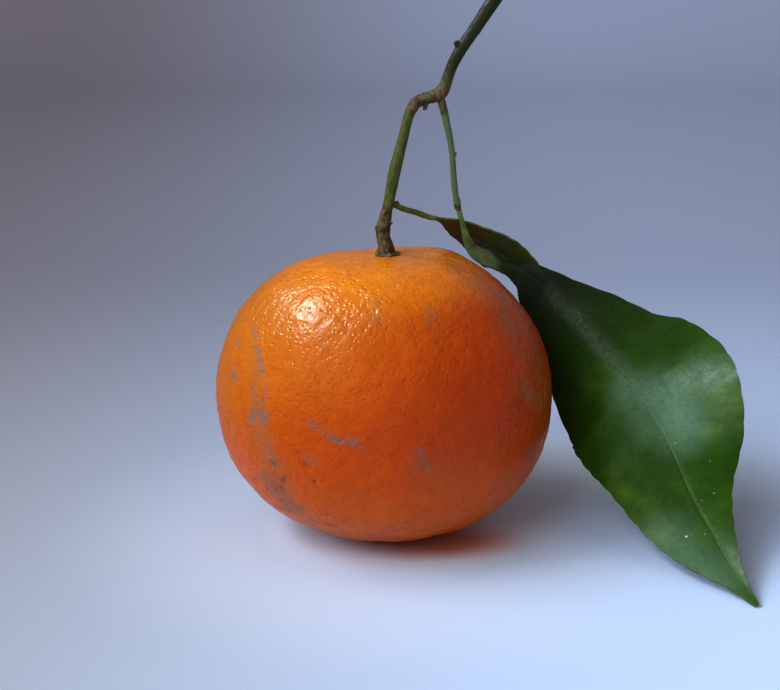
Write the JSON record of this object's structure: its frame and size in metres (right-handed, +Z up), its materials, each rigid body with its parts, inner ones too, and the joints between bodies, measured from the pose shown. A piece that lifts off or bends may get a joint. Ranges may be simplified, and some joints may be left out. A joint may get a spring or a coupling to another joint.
{
  "type": "orange with stem and leaves",
  "caption": "Whole round orange fruit with its calyx, woody stem with a side twig, and leaves, resting on a small flat spot.",
  "frame": {"origin": "on the flat spot that the fruit rests on, under the middle of the fruit", "axes": "+Z up; +X towards the side that the stem and the large leaf lean to; -Y towards the front, where the large leaf's tip comes down"},
  "size_m": [0.115, 0.0821, 0.1222],
  "materials": {
    "rind": "waxy rind with fine gland pits, semi-gloss",
    "sepal": "dried, matte",
    "bark": "young green bark with brown corky stretches, satin to matte",
    "leaf": "leathery leaf with a waxy upper side, semi-gloss",
    "leaf_back": "leaf seen from its duller underside, satin"
  },
  "bodies": {
    "root": {"fruit": "rind", "calyx": "sepal", "stem": "bark", "leaf_large": "leaf", "leaf_small": "leaf_back"}
  },
  "joints": []
}
